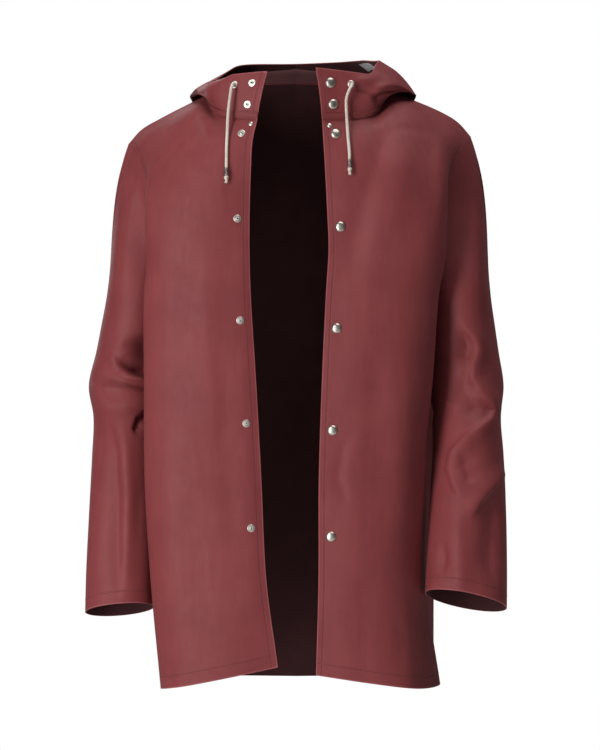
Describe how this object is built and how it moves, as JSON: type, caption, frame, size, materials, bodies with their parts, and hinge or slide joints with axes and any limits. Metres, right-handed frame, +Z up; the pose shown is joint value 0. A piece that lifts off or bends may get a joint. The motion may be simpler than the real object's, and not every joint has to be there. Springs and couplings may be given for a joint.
{
  "type": "hooded raincoat",
  "caption": "Hip-length raincoat of coated cloth in its worn form, open at the front, hood down, with snaps and a hood drawcord.",
  "frame": {"origin": "middle of the neck at shoulder level, where the wearer's shoulders carry the coat", "axes": "+Z up along the body, -Y towards the front, +X towards the wearer's left"},
  "size_m": [0.5967, 0.3179, 0.902],
  "materials": {
    "coated_cloth": "matte rubber-coated cotton, burgundy",
    "nickel": "polished nickel-plated brass",
    "cord_cotton": "cream braided cotton",
    "label_tape": "bare white satin tape"
  },
  "bodies": {
    "root": {"front_right": "coated_cloth", "front_left": "coated_cloth", "back": "coated_cloth", "sleeve_right": "coated_cloth", "sleeve_left": "coated_cloth", "hood_right": "coated_cloth", "hood_left": "coated_cloth", "neck_band": "coated_cloth", "stud_hood_1": "nickel", "stud_hood_2": "nickel", "stud_1": "nickel", "stud_2": "nickel", "stud_3": "nickel", "stud_4": "nickel", "stud_5": "nickel", "cap_hood_1": "nickel", "cap_hood_2": "nickel", "cap_1": "nickel", "cap_2": "nickel", "cap_3": "nickel", "cap_4": "nickel", "cap_5": "nickel", "rivet_right": "nickel", "rivet_left": "nickel", "eyelet_right": "nickel", "eyelet_left": "nickel", "cord_tip_right": "nickel", "cord_tip_left": "nickel", "cord_right": "cord_cotton", "cord_left": "cord_cotton", "cord_knot_right": "cord_cotton", "cord_knot_left": "cord_cotton", "label": "label_tape"}
  },
  "joints": []
}
